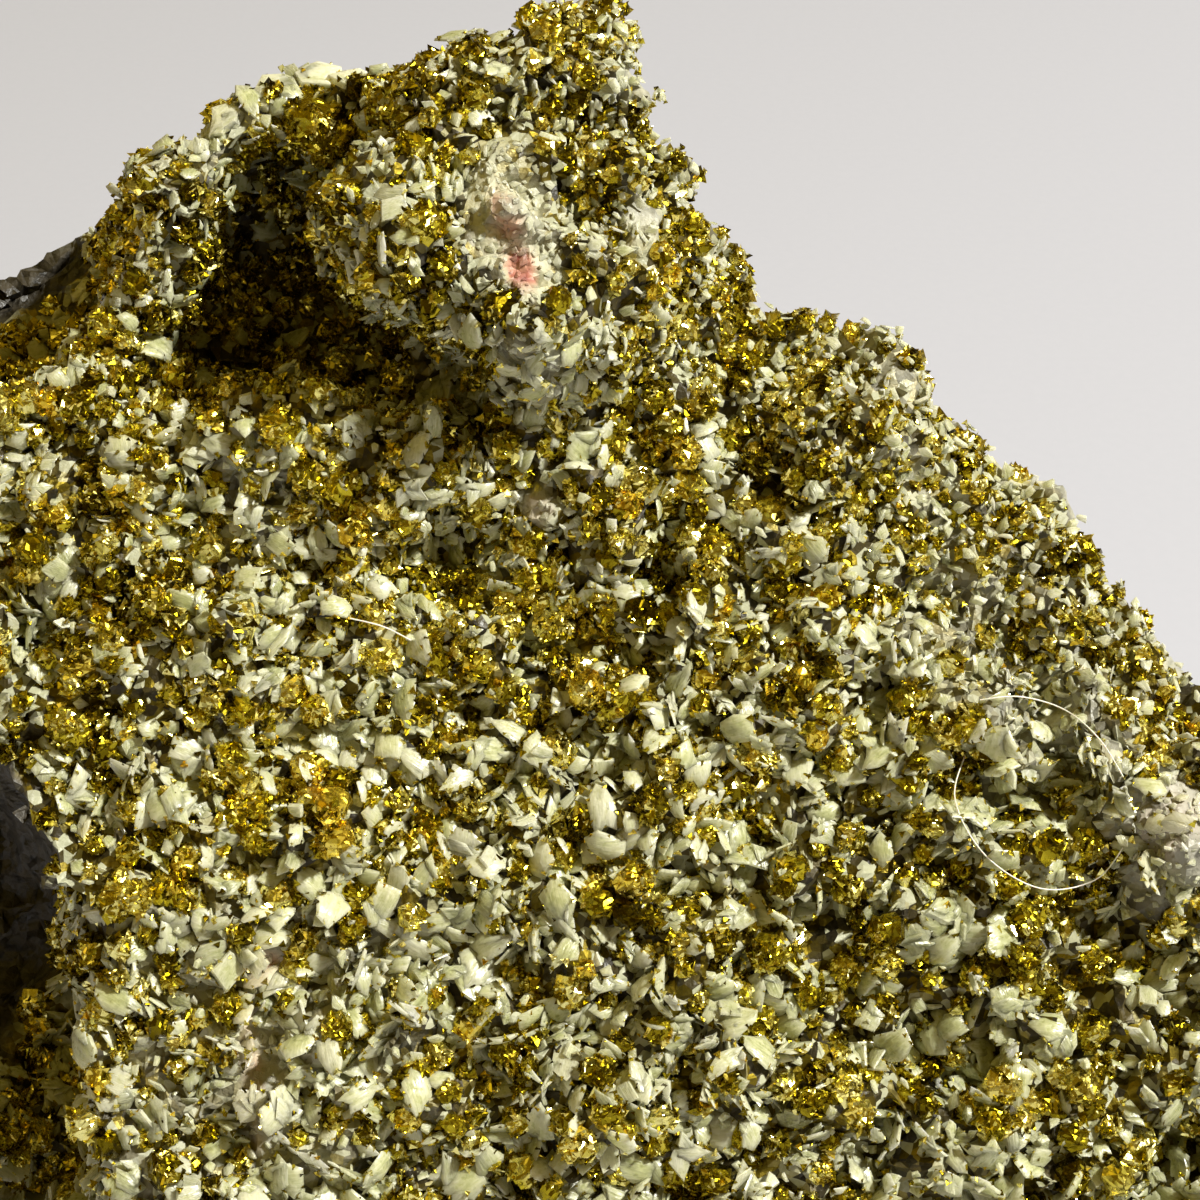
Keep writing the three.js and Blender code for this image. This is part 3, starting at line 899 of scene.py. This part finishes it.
def plate(chooser, corners, thick):
    """A thin plate with uneven corners, drawn out and bent like a saddle."""
    made = new_variant(
        bpy.ops.mesh.primitive_cone_add, vertices=corners, radius1=PLATE_LENGTH / 2 * MM,
        radius2=0.93 * MM, depth=thick,
    )
    pick_top_face(made)
    bpy.ops.mesh.inset(thickness=0.42 * MM)
    bpy.ops.object.mode_set(mode="OBJECT")
    places = positions(made)
    rim = np.hypot(places[:, 0], places[:, 1]) > 0.8 * MM
    reach = [chooser.uniform(0.62, 1.15) for _ in range(corners)]
    reach[chooser.randrange(corners)] = 0.5  # one corner is broken back
    angles = np.arctan2(places[:, 0], places[:, 1]) % (2 * math.pi)
    picked = np.round(angles / (2 * math.pi) * corners).astype(int) % corners
    places[:, :2] *= np.array(reach)[picked][:, None]
    places[:, 1] *= chooser.uniform(0.5, 0.85)
    across, along = places[:, 0] / MM, places[:, 1] / MM
    places[:, 2] += MM * (chooser.uniform(-0.4, 0.4) * across * along)
    places[:, 2] += MM * (chooser.uniform(-0.3, 0.1) * across ** 2)
    places[:, 2] += np.where(rim, 0, np.sign(places[:, 2]) * PLATE_SWELL)
    set_positions(made, places)
    keep_own_place(made, chooser)
    made.data.attributes.new("rim", "FLOAT", "POINT").data.foreach_set("value", rim.astype(float))
    return made


def blade(seed):
    """One plate, or two or three that fan out of one foot."""
    chooser = random.Random(seed)
    plates = [plate(chooser, chooser.choice((5, 7, 9)), chooser.uniform(0.05, 0.12) * MM)]
    for number in range((0, 0, 1, 2)[seed % 4]):
        extra = plate(chooser, 5, chooser.uniform(0.07, 0.13) * MM)
        lean = Euler((chooser.uniform(-0.6, 0.6), chooser.uniform(-0.6, 0.6), 0.8 * (number + 1)))
        foot = Vector((chooser.uniform(-0.5, 0.5), chooser.uniform(-0.4, 0.4), 0.08)) * MM
        extra.data.transform(Matrix.LocRotScale(foot, lean, (chooser.uniform(0.5, 0.85),) * 3))
        plates.append(extra)
    select_only(plates[0])
    for made in plates:
        made.select_set(True)
    if len(plates) > 1:
        bpy.ops.object.join()
    bpy.ops.object.shade_smooth_by_angle(angle=SHARP)
    return plates[0]


def milky_dolomite():
    """Greenish cream that lets light in, with growth lines along each plate and rims painted paler, as
    light glowing through the thin edges.
    """
    made, tree = material("milky_dolomite")
    place = tree.place()
    # The tint is each blade's own tone, with shade painted in for the hollows
    tint = tree.add("ShaderNodeAttribute", {"attribute_name": "tint"}, {}, "Fac")
    rim = tree.add("ShaderNodeAttribute", {"attribute_name": "rim"}, {}, "Fac")
    own = tree.add("ShaderNodeAttribute", {"attribute_name": "own"}, {}, "Vector")
    drawn_out = tree.add("ShaderNodeVectorMath", {"operation": "MULTIPLY"}, {0: own, 1: (1, 5, 1)})
    growth_lines = tree.noise(drawn_out, scale=1.2, rough=0.7)
    veil = tree.noise(place, scale=3000, detail=1, rough=0.6)
    cream = tree.colours(tint * 0.35 + veil * 0.2 + growth_lines * 0.6, [
        (0.34, (0.28, 0.29, 0.12)), (0.48, (0.42, 0.43, 0.20)), (0.62, (0.54, 0.54, 0.30)),
        (0.78, (0.64, 0.63, 0.43)),
    ])
    # Painted light: the rims are painted paler, as light glowing through the thin edges
    cream = tree.mix(rim * growth_lines * 0.6, cream, (0.70, 0.69, 0.50, 1))
    finish_material(tree, {
        "Base Color": stained(tree, cream),
        "Roughness": tree.range(veil, 0.3, 0.7, 0.2, 0.5),
        "IOR": 1.6,
        "Subsurface Weight": 0.65,
        "Subsurface Radius": (1.0, 1.0, 1.0),
        "Subsurface Scale": 2.0 * MM,
        "Normal": tree.add("ShaderNodeBump", {}, {
            "Strength": 0.8, "Distance": 0.07 * MM, "Height": growth_lines * 1.4 + veil * 0.6,
        }),
    })
    return made


blades = scatter(
    "dolomite_blades", rock, [blade(seed) for seed in range(20)],
    spacing=1.0 * MM, density="pale_ground", seed=3, tilt=0.5, sizes=(0.75, 1.6),
    rise=(0.3 * MM, 0.9 * MM), kin=(4 * MM, 0.7),
)
coarse_blades = scatter(
    "coarse_blades", rock, [blade(seed) for seed in range(20)],
    spacing=1.15 * MM, density="coarse_pale_ground", seed=23, tilt=0.5, sizes=(0.95, 2.0),
    rise=(0.3 * MM, 1.0 * MM), kin=(5 * MM, 0.7),
)
fine_blades = scatter(
    "fine_blades", rock, [blade(seed) for seed in range(16)],
    spacing=0.8 * MM, density="fine_pale_ground", seed=13, tilt=0.8, sizes=(0.35, 0.85),
    rise=(0.2 * MM, 0.7 * MM), kin=(3 * MM, 0.7),
)

# The largest blades, each by its place across and up the face, its length and width in mm, and the
# turn of its length in degrees from level
LARGE_BLADES = (
    (-23.7, 26.8, 2.0, 1.5, 40), (-20.4, 24.8, 1.2, 2.2, 0), (-25.7, 18.6, 1.2, 2.6, 0),
    (-30.2, 21.0, 2.2, 2.4, 20), (-30.8, 18.4, 1.7, 2.4, -20), (-33.6, 14.6, 2.0, 3.0, 10),
    (-21.0, 5.5, 3.0, 2.2, 30), (-17.6, 3.2, 2.6, 2.0, -30), (-11.0, 5.2, 2.4, 1.6, 20),
    (1.8, -0.4, 2.6, 3.2, 15), (4.5, -1.8, 1.6, 3.0, 5), (13.5, -14.0, 3.0, 1.8, -35),
    (-18.4, -1.4, 1.5, 3.6, -30), (7.5, -27.5, 3.4, 2.0, 35), (2.0, -29.0, 3.2, 3.0, 60),
    (-29.6, 23.2, 1.6, 1.4, 0), (6.5, -9.0, 3.0, 2.4, 70), (-8.4, -10.6, 2.8, 2.4, 20),
    (16.2, -24.6, 2.6, 2.0, 40), (-12.0, -19.5, 3.0, 2.2, -20), (24.0, -26.0, 2.8, 2.0, 15),
)
large = []
SQUARE_ON = camera.rotation_euler.to_quaternion()  # flat to the crystal face
BLADE_RISE = OUT * 1.1 * MM
SLAB_RISE = UP_FACE * 1.2 * MM
SLAB_THICKNESS = 0.5 * MM
FIRST_BLADE_SEED = 30
FIRST_SLAB_SEED = 3
for number, (across, up, length, width, turn) in enumerate(LARGE_BLADES):
    chooser = random.Random(number)
    made = blade(FIRST_BLADE_SEED + number * 2)
    place, _ = seat(across, up)
    lean = Euler((chooser.uniform(-0.6, 0.2), chooser.uniform(-0.2, 0.6), math.radians(turn)))
    size = Vector((length / PLATE_LENGTH, width / PLATE_WIDTH, 1.1))
    lying = SQUARE_ON @ lean.to_quaternion()
    made.data.transform(Matrix.LocRotScale(place + BLADE_RISE, lying, size))
    keep_tint(made, 0.75)
    large.append(made)

# The pale slabs of dolomite that lie bare along the crest, listed as the large blades are
CREST_SLABS = (
    (-17.0, 30.4, 4.4, 2.4, -4), (-14.6, 30.0, 4.6, 1.8, -12), (-19.8, 29.4, 3.2, 2.4, 25),
    (-22.6, 27.6, 3.0, 2.2, 40),
)
for number, (across, up, length, width, turn) in enumerate(CREST_SLABS):
    slab = plate(random.Random(FIRST_SLAB_SEED + number), 7, SLAB_THICKNESS)
    place, _ = seat(across, up)
    lying = SQUARE_ON @ Euler((-0.5, 0.1, math.radians(turn))).to_quaternion()
    size = Vector((length / PLATE_LENGTH, width / PLATE_WIDTH, 1))
    slab.data.transform(Matrix.LocRotScale(place + SLAB_RISE, lying, size))
    keep_tint(slab, 0.9)
    large.append(slab)
select_only(blades)
for made in (*large, coarse_blades, fine_blades):
    made.select_set(True)
bpy.ops.object.join()
keep_stain(blades)
# Painted shade on the blades in the hollows
paint_shade_in_hollows(blades, share=0.9)
milk = milky_dolomite()
finished(blades, milk)

# ------------------------------------------------------------------------------------------------
# The smallest pieces: splinters of dolomite between the blades, crumbs of it on the massive rock,
# and grains of chalcopyrite that sit on the rims of the blades.


def splinter(seed):
    """A little ragged chip, 1 mm long."""
    chooser = random.Random(seed)
    chip = plate(chooser, chooser.choice((4, 5)), chooser.uniform(0.15, 0.4) * MM)
    chip.data.transform(Matrix.Scale(0.5, 4))
    select_only(chip)
    bpy.ops.object.shade_smooth_by_angle(angle=SHARP)
    return chip


splinters = scatter(
    "dolomite_splinters", rock, [splinter(seed) for seed in range(16)],
    spacing=1.0 * MM, density="grown", seed=4, tilt=1.1, sizes=(0.7, 1.6),
    rise=(0.0 * MM, 0.8 * MM),
)
crumbs = scatter(
    "crumbs", rock, [splinter(seed) for seed in range(16)],
    spacing=0.45 * MM, density="massive", seed=24, tilt=0.6, sizes=(0.35, 1.1),
    rise=(-0.1 * MM, 0.12 * MM), kin=(2 * MM, 0.5),
)
keep_tint(crumbs, 0.9)
select_only(splinters)
crumbs.select_set(True)
bpy.ops.object.join()
keep_stain(splinters)
# Painted shade on the splinters and crumbs in the hollows
paint_shade_in_hollows(splinters, share=0.9)
finished(splinters, milk)

grains = scatter(
    "chalcopyrite_grains", blades, [sphenoid(seed) for seed in range(20, 28)],
    spacing=0.55 * MM, density="rim", seed=5, tilt=1.0, sizes=(0.25, 0.6),
    rise=(-0.03 * MM, 0.05 * MM),
)
finished(grains, brass)

# ------------------------------------------------------------------------------------------------
# Lint: three fine pale hairs of dust that have settled on the crystals, as handling leaves them.

HAIR_WIDTH = 0.09 * MM
HAIR_STEPS = 8  # points from one corner of a hair's course to the next
HAIR_REACH = 3  # points to each side over which a hair bridges the crystals and is drawn level
HAIR_LIFT = 0.1 * MM  # how far a hair stands off the crystals it lies on
# Each hair's course, across and up the face in mm
HAIRS = (
    ((21.9, -9.3), (21.3, -12.0), (23.1, -15.3), (26.4, -17.3), (29.7, -16.8), (31.5, -14.7)),
    ((22.8, -6.0), (25.2, -5.8), (27.9, -6.6), (30.0, -8.4), (31.5, -10.8)),
    ((-15.0, -1.1), (-13.0, -1.6), (-11.2, -2.5)),
)


def smooth_course(corners):
    """Points on a smooth curve through the corners, without the last of them."""
    corners = [Vector(corner) for corner in corners]
    course = []
    for number in range(len(corners) - 1):
        before = corners[max(number - 1, 0)]
        here, there = corners[number], corners[number + 1]
        after = corners[min(number + 2, len(corners) - 1)]
        for step in range(HAIR_STEPS):
            share = step / HAIR_STEPS
            course.append(
                0.5 * (2 * here + (there - before) * share
                       + (2 * before - 5 * here + 4 * there - after) * share ** 2
                       + (3 * here - before - 3 * there + after) * share ** 3)
            )
    return course


def around(values, number):
    """The values near the numbered one, as far as a hair reaches to each side."""
    return values[max(0, number - HAIR_REACH):number + HAIR_REACH + 1]


def hair_course(corners):
    """Points along a hair that lies over the crystals it crosses, from one end to the other."""
    graph = bpy.context.evaluated_depsgraph_get()
    rays = []
    depths = []
    for across, up in smooth_course(corners):
        aim = FACE_MIDDLE + (ACROSS * across + UP_FACE * up) * MM
        ray = (aim - camera.location).normalized()
        _, place, *_ = bpy.context.scene.ray_cast(graph, camera.location, ray)
        rays.append(ray)
        depths.append((place - camera.location).length)
    nearest = [min(around(depths, number)) for number in range(len(depths))]
    level = [sum(around(nearest, number)) / len(around(nearest, number))
             for number in range(len(nearest))]
    return [camera.location + ray * (depth - HAIR_LIFT) for ray, depth in zip(rays, level)]


bpy.context.view_layer.update()
curve = bpy.data.curves.new("lint_hairs", "CURVE")
curve.dimensions = "3D"
curve.bevel_depth = HAIR_WIDTH / 2
curve.bevel_resolution = 1
curve.use_fill_caps = True
for corners in HAIRS:
    course = hair_course(corners)
    spline = curve.splines.new("POLY")
    spline.points.add(len(course) - 1)
    for point, place in zip(spline.points, course):
        point.co = (*place, 1)
lint = bpy.data.objects.new("lint_hairs", curve)
bpy.context.scene.collection.objects.link(lint)
select_only(lint)
bpy.ops.object.convert(target="MESH")
lint = bpy.context.object


def lint_fibre():
    """Off-white fibre, darker in its twists."""
    made, tree = material("lint_fibre")
    twist = tree.noise(tree.place(), scale=2500)
    finish_material(tree, {
        "Base Color": tree.mix(twist, (0.62, 0.58, 0.46, 1), (0.95, 0.93, 0.86, 1)),
        "Roughness": 0.5,
        "Subsurface Weight": 0.2,
        "Subsurface Scale": 0.05 * MM,
    })
    return made


finished(lint, lint_fibre())

# ------------------------------------------------------------------------------------------------
# The size of the solid and of the dressed specimen

size = {
    "cad": [list(corner) for corner in cad_box],
    "visual": [list(corner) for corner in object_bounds()],
}
